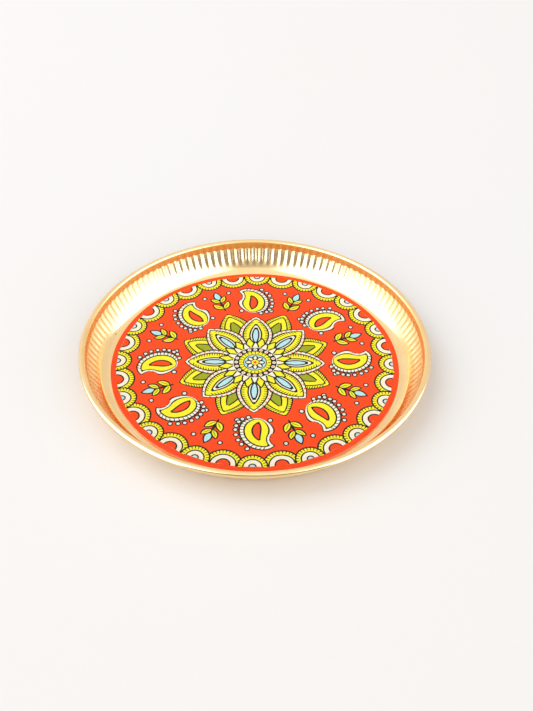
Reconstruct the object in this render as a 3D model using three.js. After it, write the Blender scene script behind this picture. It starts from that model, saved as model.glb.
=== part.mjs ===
// A round decorative plate, pressed from one brass sheet: a flat floor, a cove, a bowed and fluted wall,
// a steep collar, and a crowned lip whose edge is rolled under. A printed disc under a clear coat is bonded
// to the floor. Millimetres, +Z up, with the origin at the centre of the plate's underside.

import * as THREE from 'three';

// Driving dimensions of the brass sheet
const PLATE_DIAMETER = 254;     // over the rolled edge
const PLATE_HEIGHT = 22.7;      // from the underside to the top of the lip
const SHEET = 0.75;             // thickness of the brass
const COVE_RADIUS = 8.8;        // between the floor and the wall, on the inside
const WALL_FOOT_SLOPE = 50;     // degrees, how steeply the wall leaves the cove
const WALL_TOP_SLOPE = 65;      // degrees, how steeply the bowed wall ends
const KNEE_RADIUS = 2;          // where the wall turns up into the collar
const COLLAR_SLOPE = 80;        // degrees, how steeply the collar stands
const COLLAR_RISE = 4.2;        // how tall its straight part is
const LIP_BEND_RADIUS = 0.55;   // under the bend where the collar turns out into the lip
const LIP_RISE = 24;            // degrees, how steeply the lip starts
const LIP_FALL = 14;            // degrees, how steeply the crown falls to the rolled edge
const CROWN_RADIUS = 4;         // of the lip's crowned top
const CURL_BORE_RADIUS = 1.05;  // inside the rolled edge
const CURL_TURN = 235;          // degrees below the horizontal that the edge is rolled to

// Driving dimensions of the flutes pressed into the wall
const FLUTES = 136;
const FLUTE_DEPTH = 0.55;       // from ridge to groove
const FLUTE_FOOT = 0.5;         // plain wall between the cove and the flutes
const FLUTE_RUNOUT = 8;         // length over which a flute fades in above that
const COLLAR_FLUTING = 0.5;     // share of their depth that the flutes have at the collar's foot

// Driving dimensions of the printed disc
const DISC_MARGIN = 0.5;        // bare floor left round the disc
const ADHESIVE = 0.125;         // thickness
const ADHESIVE_INSET = 0.5;     // how far the adhesive stops short of the disc's edge
const PRINT_SHEET = 0.375;      // thickness
const CLEAR_COAT = 1.25;        // thickness
const COAT_EDGE_RADIUS = 0.6;   // of the coat's rounded top edge

// How finely round shapes are divided
const COLUMNS = FLUTES;         // sides of a plain circle
const COLUMNS_PER_FLUTE = 2;    // one for the ridge, one for the groove
const COVE_STEPS = 3;
const FLUTE_FOOT_STEPS = 1;
const RUNOUT_STEPS = 2;
const WALL_TOP_STEPS = 1;       // above the flutes' fading ends
const KNEE_STEPS = 1;
const LIP_BEND_STEPS = 2;
const CROWN_STEPS = 1;          // on each side of the crown's top
const CURL_SIDE_STEPS = 2;      // from the crown to the plate's widest point
const CURL_TUCK_STEPS = 3;      // from there to the end of the roll
const COAT_EDGE_STEPS = 3;

const { degToRad, lerp } = THREE.MathUtils;

/** Where an arc of this radius ends, as run and rise, when it turns from one heading to another. */
function arcSpan(radius, from, to) {
  const side = Math.sign(to - from);
  return {
    run: side * radius * (Math.sin(to) - Math.sin(from)),
    rise: side * radius * (Math.cos(from) - Math.cos(to)),
  };
}

/** Adds an arc that turns to a new heading; fluting is the share of the flutes' depth at its end. */
function turn(stations, heading, radius, steps, fluting = 0) {
  const start = stations.at(-1);
  for (let step = 1; step <= steps; step += 1) {
    const share = step / steps;
    const angle = lerp(start.heading, heading, share);
    const span = arcSpan(radius, start.heading, angle);
    stations.push({
      radius: start.radius + span.run,
      height: start.height + span.rise,
      heading: angle,
      fluting: lerp(start.fluting, fluting, share),
    });
  }
}

/** Adds a straight, plain stretch that climbs this far on the present heading. */
function climb(stations, rise) {
  const start = stations.at(-1);
  stations.push({
    radius: start.radius + rise / Math.tan(start.heading),
    height: start.height + rise,
    heading: start.heading,
    fluting: 0,
  });
}

/** Works out the sheet's top face from the floor's edge to the rolled edge, and the floor's radius. */
function layOutSheet() {
  const [foot, top, collar] = [WALL_FOOT_SLOPE, WALL_TOP_SLOPE, COLLAR_SLOPE].map(degToRad);
  const [rise, fall] = [LIP_RISE, -LIP_FALL].map(degToRad);
  const lipBendRadius = LIP_BEND_RADIUS + SHEET;
  const curlRadius = CURL_BORE_RADIUS + SHEET;

  const cove = arcSpan(COVE_RADIUS, 0, foot);
  const knee = arcSpan(KNEE_RADIUS, top, collar);
  const lipBend = arcSpan(lipBendRadius, collar, rise);
  const innerCrown = arcSpan(CROWN_RADIUS, rise, 0);
  const outerCrown = arcSpan(CROWN_RADIUS, 0, fall);
  const curlSide = arcSpan(curlRadius, fall, -Math.PI / 2);
  // The wall bows out on whatever radius fills the height that the other stretches leave.
  const lipRise = lipBend.rise + innerCrown.rise;
  const wallRise = PLATE_HEIGHT - SHEET - cove.rise - knee.rise - COLLAR_RISE - lipRise;
  const wallRadius = wallRise / (Math.cos(foot) - Math.cos(top));
  const wall = arcSpan(wallRadius, foot, top);
  const collarRun = knee.run + COLLAR_RISE / Math.tan(collar);
  const lipRun = lipBend.run + innerCrown.run + outerCrown.run + curlSide.run;
  const floorRadius = PLATE_DIAMETER / 2 - lipRun - collarRun - wall.run - cove.run;
  const fluteStart = foot + FLUTE_FOOT / wallRadius;
  const runoutEnd = fluteStart + FLUTE_RUNOUT / wallRadius;

  const stations = [{ radius: floorRadius, height: SHEET, heading: 0, fluting: 0 }];
  turn(stations, foot, COVE_RADIUS, COVE_STEPS);
  turn(stations, fluteStart, wallRadius, FLUTE_FOOT_STEPS);
  turn(stations, runoutEnd, wallRadius, RUNOUT_STEPS, 1);
  turn(stations, top, wallRadius, WALL_TOP_STEPS, 1);
  turn(stations, collar, KNEE_RADIUS, KNEE_STEPS, COLLAR_FLUTING);
  climb(stations, COLLAR_RISE);
  turn(stations, rise, lipBendRadius, LIP_BEND_STEPS);
  turn(stations, 0, CROWN_RADIUS, CROWN_STEPS);
  turn(stations, fall, CROWN_RADIUS, CROWN_STEPS);
  turn(stations, -Math.PI / 2, curlRadius, CURL_SIDE_STEPS);
  turn(stations, -degToRad(CURL_TURN), curlRadius, CURL_TUCK_STEPS);
  return { stations, floorRadius };
}

/** Makes one ring of points at a depth below the sheet's top face, moved in and out by the flutes. */
function makeRing(station, depth) {
  const count = station.fluting > 0 ? COLUMNS_PER_FLUTE * FLUTES : COLUMNS;
  const points = [];
  for (let column = 0; column < count; column += 1) {
    const angle = 2 * Math.PI * column / count;
    const wave = station.fluting * FLUTE_DEPTH / 2 * Math.cos(FLUTES * angle);
    const offset = depth + wave;
    const radius = station.radius + offset * Math.sin(station.heading);
    const height = station.height - offset * Math.cos(station.heading);
    points.push(new THREE.Vector3(radius * Math.cos(angle), radius * Math.sin(angle), height));
  }
  return points;
}

/** Joins two neighbouring rings with triangles, stepping along whichever ring is behind. */
function stitchRings(inner, outer, addTriangle) {
  const innerSteps = inner.length > 1 ? inner.length : 0;
  const outerSteps = outer.length > 1 ? outer.length : 0;
  const at = (ring, step) => ring[step % ring.length];
  let i = 0;
  let j = 0;
  while (i < innerSteps || j < outerSteps) {
    const stepOuter = i >= innerSteps || (j < outerSteps && (j + 1) * innerSteps <= (i + 1) * outerSteps);
    if (stepOuter) {
      addTriangle(at(inner, i), at(outer, j), at(outer, j + 1));
      j += 1;
    } else {
      addTriangle(at(inner, i), at(outer, j), at(inner, i + 1));
      i += 1;
    }
  }
}

/** Builds the sheet as one closed skin: up over its top face, round the rolled edge, and back underneath. */
function makeSheetGeometry(stations) {
  const topFace = stations.map((station) => makeRing(station, 0));
  const underFace = stations.map((station) => makeRing(station, SHEET)).reverse();
  const topCentre = [new THREE.Vector3(0, 0, SHEET)];
  const underCentre = [new THREE.Vector3(0, 0, 0)];
  const rings = [topCentre, ...topFace, ...underFace, underCentre];

  const corners = [];
  const addTriangle = (...points) => points.forEach((point) => corners.push(...point.toArray()));
  for (let ring = 1; ring < rings.length; ring += 1) {
    stitchRings(rings[ring - 1], rings[ring], addTriangle);
  }
  const geometry = new THREE.BufferGeometry();
  geometry.setAttribute('position', new THREE.Float32BufferAttribute(corners, 3));
  geometry.computeVertexNormals();
  return geometry;
}

/** Turns a profile, whose points are a radius and a height, round the Z axis. */
function turnOnAxis(profile) {
  return new THREE.LatheGeometry(profile, COLUMNS).rotateX(Math.PI / 2);
}

/** Builds a flat disc with square edges, standing on Z = 0. */
function makeDiscGeometry(radius, thickness) {
  return turnOnAxis([
    new THREE.Vector2(0, 0),
    new THREE.Vector2(radius, 0),
    new THREE.Vector2(radius, thickness),
    new THREE.Vector2(0, thickness),
  ]);
}

/** Builds the clear coat: a flat disc whose top edge is rounded, standing on Z = 0. */
function makeCoatGeometry(radius) {
  const profile = [new THREE.Vector2(0, 0), new THREE.Vector2(radius, 0)];
  for (let step = 0; step <= COAT_EDGE_STEPS; step += 1) {
    const angle = Math.PI / 2 * step / COAT_EDGE_STEPS;
    profile.push(new THREE.Vector2(
      radius - COAT_EDGE_RADIUS * (1 - Math.cos(angle)),
      CLEAR_COAT - COAT_EDGE_RADIUS * (1 - Math.sin(angle)),
    ));
  }
  profile.push(new THREE.Vector2(0, CLEAR_COAT));
  return turnOnAxis(profile);
}

/** Makes one named piece that stands at a height above the plate's underside. */
function makePiece(name, geometry, finish, height = 0) {
  const piece = new THREE.Mesh(geometry, new THREE.MeshStandardMaterial(finish));
  piece.name = name;
  piece.position.z = height;
  return piece;
}

const brassFinish = { color: 0xedcb8c, metalness: 1, roughness: 0.2 };
const adhesiveFinish = { color: 0xd9d4c7, metalness: 0, roughness: 0.6 };
const printFinish = { color: 0xff4b23, metalness: 0, roughness: 0.5 };
const coatFinish = { color: 0xffffff, metalness: 0, roughness: 0.04, transparent: true, opacity: 0.2 };

const { stations, floorRadius } = layOutSheet();
const discRadius = floorRadius - DISC_MARGIN;
const printHeight = SHEET + ADHESIVE;
const coatHeight = printHeight + PRINT_SHEET;

const plate = new THREE.Group();
plate.name = 'decorative_plate';
plate.add(
  makePiece('plate_body', makeSheetGeometry(stations), brassFinish),
  makePiece('adhesive_film', makeDiscGeometry(discRadius - ADHESIVE_INSET, ADHESIVE), adhesiveFinish, SHEET),
  makePiece('printed_sheet', makeDiscGeometry(discRadius, PRINT_SHEET), printFinish, printHeight),
  makePiece('clear_coat', makeCoatGeometry(discRadius), coatFinish, coatHeight),
);

export default plate;
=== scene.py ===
"""A decorative plate: a fluted brass dish with a printed, clear-coated disc in its well.

Sizes are in metres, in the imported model's frame: +Z up, with the origin at the centre of the underside.
Only the drawing on the disc is laid out in millimetres, about the disc's middle.
"""

import logging
import math
from dataclasses import dataclass, field
from enum import Enum

import bpy
from mathutils import Matrix, Vector, noise
from mathutils.geometry import delaunay_2d_cdt


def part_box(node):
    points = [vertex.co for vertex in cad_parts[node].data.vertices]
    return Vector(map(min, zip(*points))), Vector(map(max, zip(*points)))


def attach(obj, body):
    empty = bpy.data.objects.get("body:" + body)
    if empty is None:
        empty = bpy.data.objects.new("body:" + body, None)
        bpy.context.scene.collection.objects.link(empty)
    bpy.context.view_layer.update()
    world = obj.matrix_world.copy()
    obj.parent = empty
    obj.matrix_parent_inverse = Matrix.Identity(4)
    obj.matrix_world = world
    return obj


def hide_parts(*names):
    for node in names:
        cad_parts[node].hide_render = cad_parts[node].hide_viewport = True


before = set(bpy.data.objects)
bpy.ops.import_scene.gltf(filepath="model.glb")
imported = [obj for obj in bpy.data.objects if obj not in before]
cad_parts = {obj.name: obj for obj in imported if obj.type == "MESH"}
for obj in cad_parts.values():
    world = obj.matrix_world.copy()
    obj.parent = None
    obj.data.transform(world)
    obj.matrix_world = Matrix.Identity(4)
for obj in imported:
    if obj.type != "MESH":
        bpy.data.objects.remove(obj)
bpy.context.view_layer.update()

MM = 0.001
FULL_TURN = 2 * math.pi
BODY = "root"

log = logging.getLogger("decorative_plate")

Colour = tuple[float, float, float]
Material = bpy.types.Material
Object = bpy.types.Object
Outline = list[complex]
Point = tuple[float, float, float]
Socket = bpy.types.NodeSocket
Span = tuple[float, float]


def linear(*shown: int) -> Colour:
    """Turns red, green and blue as a screen shows them, 0 to 255, into the linear values of shaders."""
    shares = [share / 255 for share in shown]
    return tuple(share / 12.92 if share <= 0.04045 else ((share + 0.055) / 1.055) ** 2.4 for share in shares)


def between(start: float, end: float, share: float) -> float:
    """Returns the value that lies this share of the way from start to end."""
    return start + (end - start) * share


def unit(angle: float) -> complex:
    """Returns the direction at an angle."""
    return complex(math.cos(angle), math.sin(angle))


def round_about(count: int, start: float = 0.0) -> list[float]:
    """Returns evenly spaced angles, the first at this share of a step."""
    return [FULL_TURN * (step + start) / count for step in range(count)]


def place_in_scene(name: str, data: bpy.types.ID) -> Object:
    """Makes an object of a mesh, a lamp or a camera.

    Args:
        name: The object's name.
        data: What it shows.

    Returns:
        The new object, in the scene.
    """
    placed = bpy.data.objects.new(name, data)
    bpy.context.scene.collection.objects.link(placed)
    return placed


class Wiring:
    """A shader's node tree, with short ways to add the nodes that this plate's finishes use."""

    def __init__(self, tree: bpy.types.NodeTree) -> None:
        """Starts on the node tree of a material or a world, and empties it."""
        self.tree = tree
        tree.nodes.clear()

    def add(self, kind: str, inputs: dict | None = None, **settings: object) -> bpy.types.Node:
        """Adds a node, sets it, and feeds its inputs.

        Args:
            kind: The node's type name.
            inputs: A value, or another node's output, for each input's name or number.
            **settings: The node's own settings.

        Returns:
            The new node.
        """
        node = self.tree.nodes.new(kind)
        for name, value in settings.items():
            setattr(node, name, value)
        for key, value in (inputs or {}).items():
            socket = node.inputs[key]
            if isinstance(value, Socket):
                self.tree.links.new(value, socket)
            else:
                socket.default_value = (*value, 1.0) if socket.type == "RGBA" else value
        return node

    def maths(self, operation: str, *values: object) -> Socket:
        """Adds a Math node and returns its result."""
        return self.add("ShaderNodeMath", dict(enumerate(values)), operation=operation).outputs[0]

    def vector(self, operation: str, output: str, *values: object) -> Socket:
        """Adds a Vector Math node and returns the output of this name."""
        return self.add("ShaderNodeVectorMath", dict(enumerate(values)), operation=operation).outputs[output]

    def axes(self, vector: object) -> list[Socket]:
        """Splits a vector and returns its X, Y and Z."""
        return list(self.add("ShaderNodeSeparateXYZ", {0: vector}).outputs)

    def ramp(self, value: object, read: Span, given: Span = (0.0, 1.0), smooth: bool = False) -> Socket:
        """Maps a value from one range to another, and holds it there.

        Args:
            value: What is mapped.
            read: The range it is read in, as (from, to).
            given: The range it is given, as (from, to).
            smooth: Eases in and out at the two ends.

        Returns:
            The mapped value.
        """
        kind = "SMOOTHSTEP" if smooth else "LINEAR"
        inputs = {"Value": value, "From Min": read[0], "From Max": read[1]}
        inputs |= {"To Min": given[0], "To Max": given[1]}
        return self.add("ShaderNodeMapRange", inputs, interpolation_type=kind).outputs["Result"]

    def noise(self, vector: object, scale: float, detail: float) -> Socket:
        """Adds a noise texture and returns its value."""
        inputs = {"Vector": vector, "Scale": scale, "Detail": detail}
        return self.add("ShaderNodeTexNoise", inputs).outputs["Fac"]

    def mix(self, share: object, first: object, second: object) -> Socket:
        """Mixes two colours and returns the mixture; the share is how much of the second there is."""
        return self.add("ShaderNodeMix", {0: share, 6: first, 7: second}, data_type="RGBA").outputs[2]

    def blend(self, share: object, first: object, second: object) -> Socket:
        """Mixes two numbers and returns the mixture; the share is how much of the second there is."""
        return self.add("ShaderNodeMix", {0: share, 2: first, 3: second}, data_type="FLOAT").outputs[0]

    def place(self) -> Socket:
        """Returns where a point lies on its piece, in metres."""
        return self.add("ShaderNodeTexCoord").outputs["Object"]

    def surface(self, shader: bpy.types.Node) -> None:
        """Ends the tree with this shader."""
        end = "ShaderNodeOutputWorld" if shader.type == "BACKGROUND" else "ShaderNodeOutputMaterial"
        self.add(end, {"Surface": shader.outputs[0]})

    def principled(self, inputs: dict) -> None:
        """Ends the tree with a Principled BSDF that has these inputs."""
        self.surface(self.add("ShaderNodeBsdfPrincipled", inputs))


def new_finish(name: str) -> tuple[Material, Wiring]:
    """Makes an empty material.

    Args:
        name: The material's name.

    Returns:
        The material and the wiring for it.
    """
    material = bpy.data.materials.new(name)
    material.use_nodes = True
    return material, Wiring(material.node_tree)


@dataclass(frozen=True)
class BrassFinish:
    """Polished brass with fine rings left by the spinning tool.

    It is duller in the collar and on the wall, there most of all at the gripped sides, left and right. The
    collar is also painted a darker orange, as painted shade and reflection of brass in brass under the lip.
    The wall, the collar and the lip each set in over a span of distances from the plate's axis.
    """

    name: str = "spun_brass"
    bright: Colour = linear(244, 213, 160)
    warm: Colour = linear(239, 204, 147)
    cloud_scale: float = 60.0
    cloud_detail: float = 4.0
    cloud_span: Span = (0.35, 0.7)
    smear_scale: float = 240.0
    smear_detail: float = 3.0
    smear_span: Span = (0.3, 0.75)
    polish: Span = (0.09, 0.16)
    wall: Span = (112 * MM, 117 * MM)
    grip: Span = (60 * MM, 112 * MM)
    wall_dullness: Span = (0.1, 0.3)
    collar: Span = (121.1 * MM, 121.6 * MM)
    collar_dullness: float = 0.1
    # Painted shade: the collar is pulled towards this darker, deeper orange, which stands in for the shade
    # and the brass-in-brass reflection under the lip.
    collar_painted_shade: Colour = linear(232, 158, 50)
    collar_painted_shade_share: float = 0.6
    lip: Span = (122.5 * MM, 122.9 * MM)
    tarnish: Colour = linear(150, 96, 40)
    tarnish_share: float = 0.75
    spot: Point = (-106.7 * MM, 30.2 * MM, 1.95 * MM)
    spot_span: Span = (0.36 * MM, 0.9 * MM)
    ring_pitch: float = 0.35 * MM
    ring_height: float = 0.0006 * MM
    ring_detail: float = 1.0

    def material(self) -> Material:
        """Builds the finish.

        Returns:
            The brass material.
        """
        material, wiring = new_finish(self.name)
        place = wiring.place()
        across, _, height = wiring.axes(place)
        reach = wiring.vector("LENGTH", "Value", wiring.vector("MULTIPLY", "Vector", place, (1.0, 1.0, 0.0)))
        below_lip = wiring.ramp(reach, self.lip, (1.0, 0.0))
        collar = wiring.maths("MULTIPLY", wiring.ramp(reach, self.collar), below_lip)
        wall = wiring.maths("MULTIPLY", wiring.ramp(reach, self.wall), below_lip)

        clouds = wiring.noise(place, self.cloud_scale, self.cloud_detail)
        colour = wiring.mix(wiring.ramp(clouds, self.cloud_span), self.bright, self.warm)
        away = wiring.vector("DISTANCE", "Value", place, self.spot)
        stain = wiring.ramp(away, self.spot_span, (self.tarnish_share, 0.0))
        colour = wiring.mix(stain, colour, self.tarnish)
        # Painted shade and reflection: the collar's colour is pulled towards a darker orange.
        painted_shade_share = wiring.maths("MULTIPLY", collar, self.collar_painted_shade_share)
        colour = wiring.mix(painted_shade_share, colour, self.collar_painted_shade)

        smears = wiring.noise(place, self.smear_scale, self.smear_detail)
        worn = wiring.ramp(wiring.maths("ABSOLUTE", across), self.grip, self.wall_dullness)
        worn = wiring.maths("MULTIPLY", wall, worn)
        dull = wiring.maths("MULTIPLY_ADD", collar, self.collar_dullness, worn)
        roughness = wiring.maths("ADD", wiring.ramp(smears, self.smear_span, self.polish), dull)

        spun = wiring.add("ShaderNodeCombineXYZ", {0: reach, 1: height}).outputs[0]
        rings = wiring.noise(spun, 1 / self.ring_pitch, self.ring_detail)
        bump = wiring.add("ShaderNodeBump", {"Height": rings, "Distance": self.ring_height, "Strength": 1.0})
        wiring.principled({
            "Base Color": colour, "Metallic": 1.0, "Roughness": roughness, "Normal": bump.outputs[0],
        })
        return material


@dataclass(frozen=True)
class InkFinish:
    """One colour of the print, slightly uneven as ink on paper is, under the clear gloss coat."""

    name: str
    colour: Colour
    uneven: float = 0.07
    mottle_scale: float = 420.0
    mottle_detail: float = 5.0
    mottle_span: Span = (0.3, 0.7)
    roughness: float = 0.55
    coat_roughness: float = 0.02
    coat_ior: float = 1.3

    def material(self) -> Material:
        """Builds the finish.

        Returns:
            The ink's material.
        """
        material, wiring = new_finish(self.name)
        mottle = wiring.noise(wiring.place(), self.mottle_scale, self.mottle_detail)
        thin = tuple(channel * (1 - self.uneven) for channel in self.colour)
        thick = tuple(min(1.0, channel * (1 + self.uneven)) for channel in self.colour)
        colour = wiring.mix(wiring.ramp(mottle, self.mottle_span), thin, thick)
        wiring.principled({
            "Base Color": colour, "Roughness": self.roughness, "Specular IOR Level": 0.0,
            "Coat Weight": 1.0, "Coat Roughness": self.coat_roughness, "Coat IOR": self.coat_ior,
        })
        return material


@dataclass(frozen=True)
class PatchyFinish:
    """A plain finish whose colour drifts between two shades."""

    name: str
    first: Colour
    second: Colour
    scale: float
    detail: float
    roughness: float
    specular: float = 0.5
    coat: float = 0.0
    coat_roughness: float = 0.1

    def material(self) -> Material:
        """Builds the finish.

        Returns:
            The material.
        """
        material, wiring = new_finish(self.name)
        patches = wiring.noise(wiring.place(), self.scale, self.detail)
        wiring.principled({
            "Base Color": wiring.mix(patches, self.first, self.second), "Roughness": self.roughness,
            "Specular IOR Level": self.specular,
            "Coat Weight": self.coat, "Coat Roughness": self.coat_roughness,
        })
        return material


@dataclass(frozen=True)
class CutEdgeFinish(PatchyFinish):
    """The cut side of the printed sheet and its coat: the ground's ink through resin, painted paler as
    painted light.
    """

    name: str = "cut_edge_painted_light"
    # Painted light: both shades are paler than the edge's own colour, to lift the shade it lies in between
    # the disc and the cove.
    first: Colour = linear(236, 146, 88)
    second: Colour = linear(252, 194, 136)
    scale: float = 300.0
    detail: float = 4.0
    roughness: float = 0.35
    coat: float = 0.6


@dataclass(frozen=True)
class AdhesiveFinish(PatchyFinish):
    """The thin film of adhesive under the printed sheet, yellowed in places."""

    name: str = "adhesive"
    first: Colour = linear(217, 212, 199)
    second: Colour = linear(202, 190, 160)
    scale: float = 90.0
    detail: float = 3.0
    roughness: float = 0.6


@dataclass(frozen=True)
class TableFinish(PatchyFinish):
    """The plain pale table top, without any shine."""

    name: str = "pale_table"
    first: Colour = linear(243, 244, 246)
    second: Colour = linear(242, 241, 241)
    scale: float = 1.6
    detail: float = 2.0
    roughness: float = 0.8
    specular: float = 0.0


@dataclass
class Skin:
    """Collects the points and faces of one mesh, ring by ring round the Z axis."""

    points: list[Point] = field(default_factory=list)
    faces: list[tuple[int, ...]] = field(default_factory=list)

    def point(self, radius: float, angle: float, height: float) -> int:
        """Adds one point and returns its number."""
        self.points.append((radius * math.cos(angle), radius * math.sin(angle), height))
        return len(self.points) - 1

    def ring(self, radius: float, height: float, count: int) -> list[int]:
        """Adds a plain ring of points and returns their numbers."""
        return [self.point(radius, FULL_TURN * step / count, height) for step in range(count)]

    def stitch(self, inner: list[int], outer: list[int]) -> None:
        """Joins two neighbouring rings, with triangles where their counts differ.

        Args:
            inner: The ring that the skin comes from, or a single point.
            outer: The ring that it goes on to, or a single point.
        """
        if len(inner) == len(outer):
            for step, following in enumerate([*range(1, len(inner)), 0]):
                self.faces.append((inner[step], outer[step], outer[following], inner[following]))
            return
        inner_steps = len(inner) if len(inner) > 1 else 0
        outer_steps = len(outer) if len(outer) > 1 else 0
        i = j = 0
        while i < inner_steps or j < outer_steps:
            ahead = j < outer_steps and (j + 1) * inner_steps <= (i + 1) * outer_steps
            if i >= inner_steps or ahead:
                self.faces.append((inner[i % len(inner)], outer[j], outer[(j + 1) % len(outer)]))
                j += 1
            else:
                self.faces.append((inner[i], outer[j % len(outer)], inner[(i + 1) % len(inner)]))
                i += 1

    def build(self, name: str, sharp: float) -> Object:
        """Makes the object.

        Args:
            name: The piece's name.
            sharp: Edges that turn by more than this angle stay crisp.

        Returns:
            The new object, smooth shaded.
        """
        mesh = bpy.data.meshes.new(name)
        mesh.from_pydata(self.points, [], self.faces)
        mesh.polygons.foreach_set("use_smooth", [True] * len(mesh.polygons))
        mesh.set_sharp_from_angle(angle=sharp)
        mesh.update()
        return place_in_scene(name, mesh)


@dataclass(frozen=True)
class Station:
    """One point of the dish's section: where the sheet's top face is, its heading, and how fluted it is."""

    radius: float
    height: float
    heading: float
    fluting: float


@dataclass(frozen=True)
class SectionSteps:
    """How many stations each part of the dish's section takes."""

    cove: int = 12
    wall_foot: int = 2
    runout: int = 8
    wall: int = 5
    knee: int = 5
    collar: int = 4
    lip_bend: int = 7
    inner_crown: int = 4
    outer_crown: int = 3
    curl_side: int = 9
    curl_tuck: int = 14


@dataclass
class BrassDish:
    """The pressed brass sheet: floor, cove, fluted wall, collar, crowned lip and rolled edge."""

    diameter: float
    height: float
    sheet: float
    cove_radius: float = 8.8 * MM
    wall_foot_slope: float = math.radians(50)
    wall_top_slope: float = math.radians(65)
    knee_radius: float = 2 * MM
    collar_slope: float = math.radians(80)
    collar_rise: float = 4.2 * MM
    lip_bend_radius: float = 0.55 * MM
    lip_rise: float = math.radians(24)
    lip_fall: float = math.radians(14)
    crown_radius: float = 4 * MM
    curl_bore_radius: float = 1.05 * MM
    curl_turn: float = math.radians(235)
    flutes: int = 136
    flute_depth: float = 0.55 * MM
    flute_foot: float = 0.5 * MM
    flute_runout: float = 8.0 * MM
    collar_fluting: float = 0.5
    columns_per_flute: int = 10
    plain_columns: int = 340
    floor_columns: int = 85
    steps: SectionSteps = SectionSteps()
    sharp_edge: float = math.radians(50)
    sections: list[Station] = field(default_factory=list)

    @staticmethod
    def arc(radius: float, start: float, end: float) -> tuple[float, float]:
        """Returns how far an arc of this radius runs and rises as it turns from one heading to another."""
        side = math.copysign(radius, end - start)
        return side * (math.sin(end) - math.sin(start)), side * (math.cos(start) - math.cos(end))

    def turn(self, heading: float, radius: float, steps: int, fluting: float = 0.0) -> None:
        """Adds an arc to the section.

        Args:
            heading: The heading that it turns to.
            radius: The radius of the sheet's top face there.
            steps: How many stations it takes.
            fluting: The share of their depth that the flutes have at its end.
        """
        start = self.sections[-1]
        for step in range(1, steps + 1):
            share = step / steps
            angle = between(start.heading, heading, share)
            run, rise = self.arc(radius, start.heading, angle)
            eased = share * share * (3 - 2 * share)
            depth = between(start.fluting, fluting, eased)
            self.sections.append(Station(start.radius + run, start.height + rise, angle, depth))

    def climb(self, rise: float, steps: int) -> None:
        """Adds a straight stretch to the section, over which the flutes fade out.

        Args:
            rise: How far it climbs.
            steps: How many stations it takes.
        """
        start = self.sections[-1]
        for step in range(1, steps + 1):
            share = step / steps
            radius = start.radius + rise * share / math.tan(start.heading)
            fluting = start.fluting * (1 - share)
            self.sections.append(Station(radius, start.height + rise * share, start.heading, fluting))

    def lay_out(self) -> None:
        """Works out the section from the floor's edge to the end of the rolled edge."""
        foot, top, collar = self.wall_foot_slope, self.wall_top_slope, self.collar_slope
        rise, fall, down = self.lip_rise, -self.lip_fall, -math.pi / 2
        bend_radius = self.lip_bend_radius + self.sheet
        curl_radius = self.curl_bore_radius + self.sheet
        cove = self.arc(self.cove_radius, 0, foot)
        knee = self.arc(self.knee_radius, top, collar)
        bend = self.arc(bend_radius, collar, rise)
        crown = self.arc(self.crown_radius, rise, 0)
        outer_crown = self.arc(self.crown_radius, 0, fall)
        curl_side = self.arc(curl_radius, fall, down)
        wall_rise = self.height - self.sheet - cove[1] - knee[1] - self.collar_rise - bend[1] - crown[1]
        wall_radius = wall_rise / (math.cos(foot) - math.cos(top))
        wall = self.arc(wall_radius, foot, top)
        arcs_run = sum(run for run, _ in (cove, wall, knee, bend, crown, outer_crown, curl_side))
        floor_radius = self.diameter / 2 - arcs_run - self.collar_rise / math.tan(collar)
        flute_start = foot + self.flute_foot / wall_radius
        steps = self.steps
        self.sections = [Station(floor_radius, self.sheet, 0.0, 0.0)]
        self.turn(foot, self.cove_radius, steps.cove)
        self.turn(flute_start, wall_radius, steps.wall_foot)
        self.turn(flute_start + self.flute_runout / wall_radius, wall_radius, steps.runout, 1.0)
        self.turn(top, wall_radius, steps.wall, 1.0)
        self.turn(collar, self.knee_radius, steps.knee, self.collar_fluting)
        self.climb(self.collar_rise, steps.collar)
        self.turn(rise, bend_radius, steps.lip_bend)
        self.turn(0.0, self.crown_radius, steps.inner_crown)
        self.turn(fall, self.crown_radius, steps.outer_crown)
        self.turn(down, curl_radius, steps.curl_side)
        self.turn(-self.curl_turn, curl_radius, steps.curl_tuck)

    def flute_wave(self, angle: float) -> float:
        """Returns how far the flutes push the sheet out at an angle round the axis, from -1 to 1."""
        return math.cos(self.flutes * angle)

    def ring(self, skin: Skin, station: Station, depth: float) -> list[int]:
        """Adds the ring of points of one station.

        Args:
            skin: The skin that takes the points.
            station: Where the sheet's top face is.
            depth: How far the ring lies below that face, square to it.

        Returns:
            The points' numbers.
        """
        fluted = station.fluting > 0
        count = self.flutes * self.columns_per_flute if fluted else self.plain_columns
        numbers = []
        for column in range(count):
            angle = FULL_TURN * column / count
            offset = depth
            if fluted:
                offset += station.fluting * self.flute_depth / 2 * self.flute_wave(angle)
            radius = station.radius + offset * math.sin(station.heading)
            numbers.append(skin.point(radius, angle, station.height - offset * math.cos(station.heading)))
        return numbers

    def build(self) -> Object:
        """Builds the dish and dresses it.

        Returns:
            The dish.
        """
        self.lay_out()
        skin = Skin()
        floor = self.sections[0]
        rings = [[skin.point(0, 0, self.sheet)], skin.ring(floor.radius / 2, self.sheet, self.floor_columns)]
        rings += [self.ring(skin, station, 0.0) for station in self.sections]
        rings += [self.ring(skin, station, self.sheet) for station in reversed(self.sections)]
        rings += [skin.ring(floor.radius / 2, 0.0, self.floor_columns), [skin.point(0, 0, 0)]]
        for inner, outer in zip(rings, rings[1:]):
            skin.stitch(inner, outer)
        dish = skin.build("dish", self.sharp_edge)
        dish.data.materials.append(BrassFinish().material())
        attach(dish, BODY)
        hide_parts("plate_body")
        return dish


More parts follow.
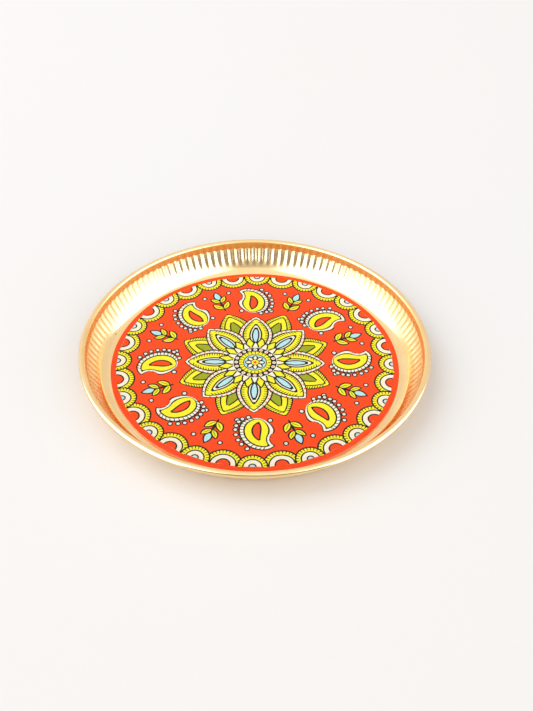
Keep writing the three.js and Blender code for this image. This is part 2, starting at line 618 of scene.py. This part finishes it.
class Ink(Enum):
    """The inks of the print, each with its colour."""

    RED = InkFinish("ink_red", linear(255, 74, 10))
    YELLOW = InkFinish("ink_yellow", linear(255, 243, 40))
    CREAM = InkFinish("ink_cream", linear(250, 244, 224))
    SKY = InkFinish("ink_sky", linear(184, 232, 240))
    OLIVE = InkFinish("ink_olive", linear(160, 170, 24))
    LINE = InkFinish("ink_line", linear(26, 22, 18), uneven=0.2)


Drawing = list[tuple[Ink, Outline]]
Layers = tuple[tuple[float, Ink], ...]


@dataclass(frozen=True)
class Shape:
    """The sizes of a petal, leaf or mango shape, which swells and tapers, and whose spine may curl."""

    length: float
    half_width: float
    swell: float = 0.6
    taper: float = 0.8
    curl: float = 0.0
    curl_power: float = 1.6
    steps: int = 26


@dataclass
class Blade:
    """A petal, leaf or mango shape in its place, where it curls to the left (1) or to the right (-1)."""

    shape: Shape
    root: complex
    heading: float
    hand: int = 1
    fewest: int = 4
    greatest: float = 0.0
    spine: list[tuple[complex, complex]] = field(default_factory=list)

    def __post_init__(self) -> None:
        """Works out where it is widest, walks along the spine once, and keeps its points and directions."""
        shape, place = self.shape, self.root
        widest = shape.swell / (shape.swell + shape.taper)
        self.greatest = widest ** shape.swell * (1 - widest) ** shape.taper
        for step in range(shape.steps + 1):
            way = unit(self.heading + self.hand * shape.curl * (step / shape.steps) ** shape.curl_power)
            self.spine.append((place, way))
            place += way * shape.length / shape.steps

    def width(self, share: float) -> float:
        """Returns half the width at this share of the length."""
        half_width, swell, taper = self.shape.half_width, self.shape.swell, self.shape.taper
        return half_width * share ** swell * (1 - share) ** taper / self.greatest

    def at(self, share: float, across: float) -> complex:
        """Finds a point of the shape.

        Args:
            share: How far along the spine it lies, from 0 to 1.
            across: How far to the left of the spine it lies, in millimetres.

        Returns:
            The point.
        """
        where = share * self.shape.steps
        step = min(int(where), self.shape.steps - 1)
        (start, way), (end, _) = self.spine[step], self.spine[step + 1]
        return start + (end - start) * (where - step) + way * 1j * across

    def outline(self, inset: float = 0.0) -> Outline:
        """Draws the shape's outline, or one that lies inside it.

        Args:
            inset: How far inside the edge it runs.

        Returns:
            The outline, or nothing where the inset leaves hardly any room.
        """
        steps = self.shape.steps
        shares = [0.5 - 0.5 * math.cos(math.pi * step / steps) for step in range(steps + 1)]
        kept = [(share, self.width(share) - inset) for share in shares]
        kept = [(share, width) for share, width in kept if width > 0]
        if len(kept) < self.fewest:
            return []
        tip = [self.at(kept[-1][0], 0.0)]
        right = [self.at(share, -width) for share, width in kept]
        left = [self.at(share, width) for share, width in reversed(kept)]
        return right + tip + left


@dataclass(frozen=True)
class Comb:
    """A band of short strokes along the edges of a blade, where that leaves some room in its middle."""

    inset: float
    depth: float
    count: int
    span: Span
    room: float = 0.3


@dataclass
class Pen:
    """Draws outlined shapes over one another, in millimetres about the disc's middle."""

    line: float = 1.15
    hatch_line: float = 0.8
    stroke_taper: float = 0.5
    pearl_line: float = 0.8
    pearl_eye: float = 0.3
    pearl_sides: int = 12
    eye_sides: int = 8
    shapes: Drawing = field(default_factory=list)

    def fill(self, ink: Ink, outline: Outline) -> None:
        """Lays one shape over what is drawn so far."""
        if len(outline) > 2:
            self.shapes.append((ink, outline))

    def disc(self, ink: Ink, centre: complex, radius: float, sides: int) -> None:
        """Lays a disc over what is drawn so far."""
        self.fill(ink, [centre + radius * unit(angle) for angle in round_about(sides)])

    def stroke(self, start: complex, end: complex) -> None:
        """Draws a short stroke that thins towards its end."""
        side = (end - start) / abs(end - start) * 1j * self.hatch_line / 2
        self.fill(Ink.LINE, [start - side, end - side * self.stroke_taper, end + side * self.stroke_taper,
                             start + side])

    def pearl(self, centre: complex, radius: float) -> None:
        """Draws a small outlined dot with an eye.

        Args:
            centre: Where it is.
            radius: How big it is, with its outline.
        """
        self.disc(Ink.LINE, centre, radius, self.pearl_sides)
        self.disc(Ink.CREAM, centre, radius - self.line * self.pearl_line, self.pearl_sides)
        self.disc(Ink.SKY, centre, radius * self.pearl_eye, self.eye_sides)

    def nested(self, blade: Blade, layers: Layers) -> None:
        """Fills a blade with outlined layers.

        Args:
            blade: The petal, leaf or mango shape.
            layers: How far inside the edge each layer starts, and its ink. Each has a dark line round it.
        """
        for inset, ink in layers:
            self.fill(Ink.LINE, blade.outline(inset))
            self.fill(ink, blade.outline(inset + self.line))

    def comb(self, blade: Blade, comb: Comb, sides: tuple[int, ...] = (-1, 1)) -> None:
        """Hatches a band that follows the edges of a blade.

        Args:
            blade: The shape.
            comb: The band.
            sides: The edges that it follows: 1 is the left one, -1 the right one.
        """
        for step in range(comb.count):
            share = between(*comb.span, (step + 0.5) / comb.count)
            width = blade.width(share)
            if width < comb.inset + comb.depth + comb.room:
                continue
            for side in sides:
                start = blade.at(share, side * (width - comb.inset))
                self.stroke(start, blade.at(share, side * (width - comb.inset - comb.depth)))


class Motif:
    """Something that the ornament is made of."""

    def draw(self, pen: Pen) -> None:
        """Draws it over what is drawn so far."""
        raise NotImplementedError


@dataclass(frozen=True)
class Bands(Motif):
    """Discs about the middle, the widest first, so that each shows as a band."""

    radii: Layers
    sides: int

    def draw(self, pen: Pen) -> None:
        """Draws the bands."""
        for radius, ink in self.radii:
            pen.disc(ink, 0j, radius, self.sides)


@dataclass(frozen=True)
class Beads(Motif):
    """A ring of beads with red eyes."""

    count: int
    reach: float
    bead: float
    eye: float
    bead_sides: int = 10
    eye_sides: int = 8

    def draw(self, pen: Pen) -> None:
        """Draws the beads.

        Args:
            pen: What draws them.
        """
        for centre in (unit(angle) * self.reach for angle in round_about(self.count)):
            pen.disc(Ink.CREAM, centre, self.bead, self.bead_sides)
            pen.disc(Ink.RED, centre, self.eye, self.eye_sides)


@dataclass(frozen=True)
class Spokes(Motif):
    """Strokes that point at the middle."""

    count: int
    inner: float
    outer: float

    def draw(self, pen: Pen) -> None:
        """Draws the strokes."""
        for angle in round_about(self.count):
            pen.stroke(unit(angle) * self.outer, unit(angle) * self.inner)


@dataclass(frozen=True)
class Pearls(Motif):
    """Pearls scattered in pairs over the red ground, each pair with its reach, spread and pearl radius."""

    count: int = 8
    start: float = 0.5
    pairs: tuple[tuple[float, float, float], ...] = ((60.0, 0.2, 2.2), (83.5, 0.12, 2.1))

    def draw(self, pen: Pen) -> None:
        """Draws the pearls.

        Args:
            pen: What draws them.
        """
        for angle in round_about(self.count, self.start):
            for reach, spread, radius in self.pairs:
                for side in (-1, 1):
                    pen.pearl(unit(angle + side * spread) * reach, radius)


@dataclass(frozen=True)
class PetalRing(Motif):
    """A ring of petals that point away from the middle, with red dots along their edges where it has any."""

    count: int
    inner: float
    petal: Shape
    layers: Layers
    start: float = 0.0
    comb: Comb | None = None
    dots: int = 0
    dots_span: Span = (0.3, 0.9)
    dot_inset: float = 1.9
    dot: float = 0.65
    dot_sides: int = 8

    def draw(self, pen: Pen) -> None:
        """Draws the petals.

        Args:
            pen: What draws them.
        """
        for angle in round_about(self.count, self.start):
            petal = Blade(self.petal, unit(angle) * self.inner, angle)
            pen.nested(petal, self.layers)
            if self.comb:
                pen.comb(petal, self.comb)
            for step in range(self.dots):
                share = between(*self.dots_span, step / (self.dots - 1))
                for side in (-1, 1):
                    place = petal.at(share, side * (petal.width(share) - self.dot_inset))
                    pen.disc(Ink.RED, place, self.dot, self.dot_sides)


@dataclass(frozen=True)
class Border(Motif):
    """The scalloped border: large lobes, and small ones before them. Each starts at its share of a step."""

    rim: float = 101.6
    count: int = 16
    lobes: tuple[tuple[float, float, Ink], ...] = ((0.5, 13.2, Ink.RED), (0.0, 10.8, Ink.SKY))
    bands: Layers = ((0.0, Ink.LINE), (1.1, Ink.YELLOW), (3.9, Ink.LINE), (4.9, Ink.CREAM), (8.0, Ink.LINE))
    heart_inset: float = 9.0
    arch_steps: int = 18
    strokes_per_mm: float = 1.15
    strokes: Span = (1.0, 3.2)

    def draw(self, pen: Pen) -> None:
        """Draws the border.

        Args:
            pen: What draws it.
        """
        for start, lobe, heart in self.lobes:
            for angle in round_about(self.count, start):
                self.draw_lobe(pen, angle, lobe, heart)

    def draw_lobe(self, pen: Pen, angle: float, lobe: float, heart: Ink) -> None:
        """Draws one lobe.

        Args:
            pen: What draws it.
            angle: Where it stands round the middle.
            lobe: Its radius.
            heart: The ink of its heart.
        """
        centre, first = unit(angle) * self.rim, angle + math.pi / 2
        for inset, ink in (*self.bands, (self.heart_inset, heart)):
            turns = [math.pi * step / self.arch_steps for step in range(self.arch_steps + 1)]
            pen.fill(ink, [centre + (lobe - inset) * unit(first + turn) for turn in turns])
        strokes = round(lobe * self.strokes_per_mm)
        for step in range(strokes):
            way = unit(first + math.pi * (step + 0.5) / strokes)
            pen.stroke(centre + way * (lobe - self.strokes[0]), centre + way * (lobe - self.strokes[1]))


@dataclass(frozen=True)
class Mangoes(Motif):
    """A ring of mango motifs that curl by turns to the left and right, each with beads along its back."""

    count: int = 8
    reach: float = 57.5
    root_lean: float = 0.08
    lean: float = 0.3
    mango: Shape = Shape(33.5, 12.6, 0.5, 0.95, 2.2, 1.9, 34)
    layers: Layers = ((0.0, Ink.CREAM), (3.4, Ink.YELLOW), (9.0, Ink.RED))
    comb: Comb = Comb(0.9, 2.5, 15, (0.03, 0.85))
    beads: int = 9
    beads_span: Span = (0.04, 0.66)
    bead: float = 2.1
    bead_gap: float = 2.0

    def draw(self, pen: Pen) -> None:
        """Draws the mango motifs.

        Args:
            pen: What draws them.
        """
        for number, angle in enumerate(round_about(self.count)):
            side = 1 if number % 2 else -1
            root = unit(angle - side * self.root_lean) * self.reach
            mango = Blade(self.mango, root, angle + side * self.lean, -side)
            for step in range(self.beads):
                share = between(*self.beads_span, step / (self.beads - 1))
                pen.pearl(mango.at(share, side * (mango.width(share) + self.bead_gap)), self.bead)
            pen.nested(mango, self.layers)
            pen.comb(mango, self.comb, (side,))


@dataclass(frozen=True)
class Sprigs(Motif):
    """A ring of sprigs between the mango motifs, each a stem with a bud and pairs of leaves.

    Each pair of leaves has how far out it grows, the leaves' shape and the shape of their veins.
    """

    count: int = 8
    start: float = 0.5
    stem: Shape = Shape(24.0, 0.9, 0.3, 0.5)
    stem_reach: float = 63.0
    bud: Shape = Shape(10.5, 3.3, 0.6, 1.0)
    bud_reach: float = 77.5
    leaves: tuple[tuple[float, Shape, Shape], ...] = (
        (66.0, Shape(10.5, 3.045, 0.7, 0.9, 0.5), Shape(6.3, 0.5, 0.4, 0.6, 0.3, steps=10)),
        (74.0, Shape(9.5, 2.755, 0.7, 0.9, 0.5), Shape(5.7, 0.5, 0.4, 0.6, 0.3, steps=10)),
    )
    leaf_lean: float = 0.85
    vein_lean: float = 0.82
    vein_inset: float = 1.4

    def draw(self, pen: Pen) -> None:
        """Draws the sprigs.

        Args:
            pen: What draws them.
        """
        for angle in round_about(self.count, self.start):
            way = unit(angle)
            pen.fill(Ink.LINE, Blade(self.stem, way * self.stem_reach, angle).outline())
            for reach, leaf, vein in self.leaves:
                for side in (-1, 1):
                    root, heading = way * reach, angle + side * self.vein_lean
                    pen.nested(Blade(leaf, root, angle + side * self.leaf_lean, -side), ((0.0, Ink.YELLOW),))
                    root += unit(heading) * self.vein_inset
                    pen.fill(Ink.OLIVE, Blade(vein, root, heading, -side).outline())
            pen.nested(Blade(self.bud, way * self.bud_reach, angle), ((0.0, Ink.SKY),))


@dataclass
class Ornament:
    """A lotus rosette ringed by mango motifs, leaf sprigs and a scalloped border, as if drawn by hand."""

    radius: float
    sides: int
    wobble: float = 0.22
    wobble_scale: float = 0.13
    wobble_slice: float = 0.5
    wobble_seed: int = 7
    calm_rim: float = 3.0

    def motifs(self) -> list[Motif]:
        """Lists what the ornament is made of.

        Returns:
            The motifs, from the ground up.
        """
        back_layers = ((0.0, Ink.YELLOW), (3.8, Ink.YELLOW), (8.6, Ink.OLIVE))
        back_comb = Comb(0.8, 2.8, 17, (0.25, 0.95))
        front_layers = ((0.0, Ink.CREAM), (3.1, Ink.YELLOW), (8.4, Ink.CREAM), (10.4, Ink.SKY))
        front_comb = Comb(3.9, 2.6, 15, (0.2, 0.9))
        return [
            Bands(((self.radius, Ink.RED),), self.sides), Border(), Pearls(), Mangoes(), Sprigs(),
            PetalRing(8, 20, Shape(39, 13.4, 0.62, 0.85), back_layers, 0.5, back_comb),
            PetalRing(8, 12, Shape(40, 13.4, 0.66), front_layers, 0.0, front_comb, dots=8),
            PetalRing(16, 10, Shape(17.5, 3.9), ((0.0, Ink.YELLOW),), 0.5),
            PetalRing(16, 10, Shape(13, 3.0), ((0.0, Ink.CREAM),)),
            Bands(((16.4, Ink.CREAM), (15.9, Ink.LINE)), 60), Beads(count=20, reach=13.9, bead=1.4, eye=0.6),
            Bands(((12.1, Ink.LINE), (11.7, Ink.YELLOW)), 48), Spokes(count=24, inner=9.2, outer=11.6),
            Bands(((8.8, Ink.LINE), (8.1, Ink.SKY)), 40),
            PetalRing(8, 2.0, Shape(5.6, 2.3, 0.7, 0.7, steps=12), ((0.0, Ink.CREAM),)),
            Bands(((3.3, Ink.LINE), (2.7, Ink.YELLOW), (1.2, Ink.RED)), 20),
        ]

    def draw(self) -> Drawing:
        """Draws the whole ornament.

        Returns:
            Each shape's ink and outline, from the ground up.
        """
        pen = Pen()
        for motif in self.motifs():
            motif.draw(pen)
        noise.seed_set(self.wobble_seed)
        return [(ink, [self.by_hand(point) for point in outline]) for ink, outline in pen.shapes]

    def by_hand(self, point: complex) -> complex:
        """Moves a point a little, as a hand-drawn line wanders, but leaves the ground's edge in place.

        Args:
            point: The point as it is laid out.

        Returns:
            The point as it is drawn.
        """
        calm = min(1.0, max(0.0, (self.radius - abs(point)) / self.calm_rim))
        drift = noise.noise_vector(Vector((point.real, point.imag, self.wobble_slice)) * self.wobble_scale)
        return point + self.wobble * calm * complex(drift.x, drift.y)


@dataclass
class PrintedFace:
    """The printed sheet and its clear coat, as one disc with a rounded top edge."""

    radius: float
    bottom: float
    top: float
    edge_radius: float = 0.6 * MM
    edge_steps: int = 6
    rim_sides: int = 408
    tolerance: float = 1e-6
    sharp_edge: float = math.radians(60)
    bake_reach: float = 0.49
    bake_under: float = 0.06
    bake_under_reach: float = 0.04

    def flatten(self, shapes: Drawing) -> tuple[list[Vector], list[tuple], list[Ink], list[int]]:
        """Turns the drawn shapes into one flat sheet of triangles.

        Args:
            shapes: Each shape's ink and outline, in millimetres. The first shape is the ground.

        Returns:
            The points in millimetres, the triangles, the ink of each, and the numbers of the ground's outer
            points.
        """
        points, outlines = [], []
        for _, outline in shapes:
            outlines.append(list(range(len(points), len(points) + len(outline))))
            points += [Vector((point.real, point.imag)) for point in outline]
        found = delaunay_2d_cdt(points, [], outlines, 1, self.tolerance, True)
        flat, triangles, sources, covering = found[0], found[2], found[3], found[5]
        shown = [shapes[max(over)][0] if over else Ink.RED for over in covering]
        number_of = {source: number for number, group in enumerate(sources) for source in group}
        rim = [number_of[number] for number in outlines[0]]
        return flat, triangles, shown, rim

    def build(self) -> Object:
        """Builds the disc and dresses it.

        Returns:
            The printed face.
        """
        flat_radius = self.radius - self.edge_radius
        flat, triangles, shown, rim = self.flatten(Ornament(flat_radius / MM, self.rim_sides).draw())
        skin = Skin()
        skin.points = [(point.x * MM, point.y * MM, self.top) for point in flat]
        skin.faces = [tuple(triangle) for triangle in triangles]
        reach = [abs(complex(*point[:2])) for point in skin.points]
        profile = []
        for step in range(1, self.edge_steps + 1):
            angle = math.pi / 2 * step / self.edge_steps
            run, drop = math.sin(angle), 1 - math.cos(angle)
            profile.append((self.edge_radius * run, self.edge_radius * drop, self.edge_radius * angle))
        depth = self.top - self.bottom
        profile.append((self.edge_radius, depth, self.edge_radius * (math.pi / 2 - 1) + depth))
        for run, drop, along in profile:
            ring = skin.ring(flat_radius + run, self.top - drop, len(rim))
            skin.stitch(rim, ring)
            reach += [flat_radius + along] * len(ring)
            rim = ring
        first_under = len(skin.faces)
        skin.stitch(rim, [skin.point(0, 0, self.bottom)])
        reach.append(0.0)
        face = skin.build("printed_face", self.sharp_edge)
        self.dress(face, shown, reach, first_under)
        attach(face, BODY)
        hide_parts("printed_sheet", "clear_coat")
        return face

    def dress(self, face: Object, shown: list[Ink], reach: list[float], first_under: int) -> None:
        """Gives each face of the disc its ink, and lays the disc out flat for the baked colours.

        Args:
            face: The printed face.
            shown: The ink of each triangle of the flat top.
            reach: How far each point lies from the middle, along the disc's surface.
            first_under: The number of the first face of the underside.
        """
        mesh, inks = face.data, list(Ink)
        for finish in (*(ink.value for ink in inks), CutEdgeFinish()):
            mesh.materials.append(finish.material())
        shown += [Ink.RED] * (self.rim_sides * self.edge_steps)
        slots = [inks.index(ink) for ink in shown]
        slots += [len(inks)] * (len(mesh.polygons) - len(slots))
        mesh.polygons.foreach_set("material_index", slots)
        layout = mesh.uv_layers.new(name="OFBake")
        spread = self.bake_reach / max(reach)
        shrink = self.bake_under_reach / self.radius
        for polygon in mesh.polygons:
            for corner in polygon.loop_indices:
                number = mesh.loops[corner].vertex_index
                x, y, _ = mesh.vertices[number].co
                if polygon.index >= first_under:
                    layout.data[corner].uv = (self.bake_under + x * shrink, self.bake_under + y * shrink)
                else:
                    stretch = reach[number] * spread / max(math.hypot(x, y), 1e-9)
                    layout.data[corner].uv = (0.5 + x * stretch, 0.5 + y * stretch)


def build_flat(name: str, corners: list[Point], material: Material) -> Object:
    """Builds a flat four-sided thing.

    Args:
        name: Its name.
        corners: Its corners in turn.
        material: Its finish.

    Returns:
        The new object.
    """
    mesh = bpy.data.meshes.new(name)
    mesh.from_pydata(corners, [], [(0, 1, 2, 3)])
    mesh.materials.append(material)
    return place_in_scene(name, mesh)


@dataclass(frozen=True)
class Table:
    """The large, plain table top."""

    reach: float = 6.0

    def build(self) -> Object:
        """Builds the table top.

        Returns:
            The table.
        """
        corners = [(x * self.reach, y * self.reach, 0) for x, y in ((-1, -1), (1, -1), (1, 1), (-1, 1))]
        table = build_flat("table", corners, TableFinish().material())
        return table


@dataclass(frozen=True)
class Surroundings:
    """The fill light, and the room that the metal and the gloss coat mirror, with two bright screens.

    A light with two values changes from one to the other over the span that has "over" in its name. Such
    spans are of how far a direction points to the right, to the back or up, from -1 to 1.
    """

    fill: float = 0.9
    fill_lean: Span = (-0.1, -0.95)
    back: Span = (1.15, 0.98)
    back_over_x: Span = (-0.6, 0.1)
    overhead: float = 1.3
    overhead_over_z: Span = (0.6, 0.95)
    screens: Span = (5.2, 4.6)
    screens_over_x: Span = (-0.25, 0.25)
    screens_foot: float = 1.5
    foot_over_z: Span = (0.05, 0.5)
    gap_middle: float = 0.03
    gap_edge: Span = (0.15, 0.35)
    back_edge: Span = (0.40, 0.48)
    top_edge: Span = (0.94, 0.985)
    above_top: float = 0.1
    mirrored_twice: float = 0.4
    second_mirror: Span = (2.4, 2.6)
    room_tint: Colour = linear(253, 250, 246)
    screen_tint: Colour = (0.84, 0.92, 1.14)

    def cover(self, wiring: Wiring, x: Socket, y: Socket, z: Socket) -> Socket:
        """Lays out the two screens, with a gap between them overhead.

        Args:
            wiring: The world's wiring.
            x: How far a direction points to the right.
            y: How far it points to the back.
            z: How far it points up.

        Returns:
            How much of a screen shows in that direction, from 0 to 1.
        """
        aside = wiring.maths("ABSOLUTE", wiring.maths("SUBTRACT", x, self.gap_middle))
        beside = wiring.ramp(aside, self.gap_edge, smooth=True)
        before = wiring.ramp(y, self.back_edge, (1.0, 0.0), True)
        below = wiring.ramp(z, self.top_edge, (1.0, self.above_top), True)
        return wiring.maths("MULTIPLY", wiring.maths("MULTIPLY", beside, before), below)

    def build(self) -> None:
        """Builds the world's shader."""
        world = bpy.data.worlds.new("studio")
        world.use_nodes = True
        bpy.context.scene.world = world
        wiring = Wiring(world.node_tree)
        x, y, z = wiring.axes(wiring.add("ShaderNodeTexCoord").outputs["Generated"])
        path = wiring.add("ShaderNodeLightPath").outputs
        once = wiring.ramp(path["Ray Depth"], self.second_mirror, (1.0, 0.0))
        bright = wiring.blend(once, self.mirrored_twice, 1.0)
        screens = wiring.maths("MULTIPLY", self.cover(wiring, x, y, z), bright)

        full = wiring.ramp(x, self.screens_over_x, self.screens)
        level = wiring.blend(wiring.ramp(z, self.foot_over_z), self.screens_foot, full)
        back = wiring.ramp(x, self.back_over_x, self.back, True)
        room = wiring.blend(wiring.ramp(z, self.overhead_over_z, smooth=True), back, self.overhead)
        mirrored = wiring.blend(screens, room, level)

        right, behind = (wiring.maths("MULTIPLY", axis, by) for axis, by in zip((x, y), self.fill_lean))
        lean = wiring.maths("ADD", wiring.maths("ADD", right, behind), 1.0)
        fill = wiring.maths("MULTIPLY", lean, self.fill)

        seen = wiring.maths("MAXIMUM", path["Is Glossy Ray"], path["Is Transmission Ray"])
        strength = wiring.blend(path["Is Camera Ray"], wiring.blend(seen, fill, mirrored), 1.0)
        tint = wiring.mix(wiring.maths("MULTIPLY", screens, seen), self.room_tint, self.screen_tint)
        wiring.surface(wiring.add("ShaderNodeBackground", {"Color": tint, "Strength": strength}))


@dataclass(frozen=True)
class Softbox:
    """A large square lamp that hangs beside the plate and faces it, and that nothing mirrors."""

    place: Point = (-2.2, 0.6, 3.2)
    size: float = 3.6
    watts: float = 44.0

    def build(self) -> Object:
        """Hangs the lamp.

        Returns:
            The lamp.
        """
        light = bpy.data.lights.new("window", "AREA")
        light.size, light.energy = self.size, self.watts
        lamp = place_in_scene("window", light)
        turned = (-Vector(self.place)).to_track_quat("-Z", "Y").to_matrix().to_4x4()
        lamp.matrix_world = Matrix.Translation(self.place) @ turned
        lamp.visible_glossy = False
        return lamp


@dataclass(frozen=True)
class FrontCard:
    """A dim card in front of the plate, which only the metal and the gloss coat mirror.

    Its light changes with the height, over the two turns. It fades out over its soft edges, and from the
    share of its height that is solid to its top.
    """

    place: Point = (0.02, -0.29, 0.0)
    width: float = 0.52
    height: float = 0.56
    soft_edge: float = 0.07
    solid: float = 0.4
    foot: float = 0.85
    middle: float = 0.3
    top: float = 0.66
    lower_turn: Span = (0.07, 0.16)
    upper_turn: Span = (0.26, 0.4)

    def material(self) -> Material:
        """Builds the card's finish.

        Returns:
            The glowing material.
        """
        half = self.width / 2
        material, wiring = new_finish("front_card")
        across, _, up = wiring.axes(wiring.place())
        low = wiring.ramp(up, self.lower_turn, (self.foot, self.middle), True)
        glow = wiring.blend(wiring.ramp(up, self.upper_turn, smooth=True), low, self.top)
        aside = wiring.maths("ABSOLUTE", across)
        beside = wiring.ramp(aside, (half - self.soft_edge, half), (1.0, 0.0), True)
        below = wiring.ramp(up, (self.height * self.solid, self.height), (1.0, 0.0), True)
        light = wiring.add("ShaderNodeEmission", {"Strength": glow}).outputs[0]
        clear = wiring.add("ShaderNodeBsdfTransparent").outputs[0]
        share = wiring.maths("MULTIPLY", beside, below)
        wiring.surface(wiring.add("ShaderNodeMixShader", {0: share, 1: clear, 2: light}))
        return material

    def build(self) -> Object:
        """Stands the card up.

        Returns:
            The card.
        """
        half = self.width / 2
        corners = [(-half, 0, 0), (half, 0, 0), (half, 0, self.height), (-half, 0, self.height)]
        card = build_flat("front_card", corners, self.material())
        card.location = self.place
        card.visible_camera = card.visible_diffuse = card.visible_shadow = False
        return card


@dataclass(frozen=True)
class PhotoCamera:
    """The camera, set where the photograph was taken from.

    The picture's width and height, the focal length and the aim's place in the picture are in pixels.
    """

    width: float = 533.0
    height: float = 711.0
    focal: float = 1000.0
    sensor: float = 36.0
    tilt: float = math.radians(42.636)
    roll: float = math.radians(0.73)
    distance: float = 726.1 * MM
    aim: Point = (0.0, 0.0, 21.1 * MM)
    aim_x: float = 255.11
    aim_y: float = 343.59
    nearest: float = 0.01

    def build(self) -> Object:
        """Places the camera and makes it the scene's own.

        Returns:
            The camera.
        """
        ahead = Vector((0, math.cos(self.tilt), -math.sin(self.tilt)))
        level, upright = Vector((1, 0, 0)), Vector((0, math.sin(self.tilt), math.cos(self.tilt)))
        right = math.cos(self.roll) * level + math.sin(self.roll) * upright
        above = -math.sin(self.roll) * level + math.cos(self.roll) * upright
        towards = ahead + right * (self.aim_x - self.width / 2) / self.focal
        towards -= above * (self.aim_y - self.height / 2) / self.focal
        lens = bpy.data.cameras.new("photo_camera")
        lens.sensor_width = self.sensor
        lens.lens = self.focal * self.sensor / self.height
        lens.clip_start = self.nearest
        camera = place_in_scene("photo_camera", lens)
        place = Vector(self.aim) - towards.normalized() * self.distance
        turned = Matrix((right, above, -ahead)).transposed().to_4x4()
        camera.matrix_world = Matrix.Translation(place) @ turned
        bpy.context.scene.camera = camera
        return camera


class AdhesiveFilm:
    """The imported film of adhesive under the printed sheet."""

    def build(self) -> Object:
        """Gives the film its finish.

        Returns:
            The film.
        """
        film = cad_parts["adhesive_film"]
        film.data.materials.clear()
        film.data.materials.append(AdhesiveFinish().material())
        return film


def main() -> None:
    """Builds the camera, the studio and the plate, piece by piece."""
    logging.basicConfig(level=logging.INFO, format="%(name)s: %(message)s")
    bpy.context.scene.view_settings.view_transform = "Standard"
    for surrounding in (PhotoCamera(), Table(), Surroundings(), Softbox(), FrontCard()):
        surrounding.build()

    body_low, body_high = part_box("plate_body")
    film_low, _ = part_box("adhesive_film")
    sheet_low, sheet_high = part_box("printed_sheet")
    _, coat_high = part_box("clear_coat")
    dish = BrassDish(body_high.x - body_low.x, body_high.z, film_low.z)
    for part in (dish, PrintedFace(sheet_high.x, sheet_low.z, coat_high.z), AdhesiveFilm()):
        piece = part.build()
        log.info("%s: %d faces", piece.name, len(piece.data.polygons))


if __name__ == "__main__":
    main()
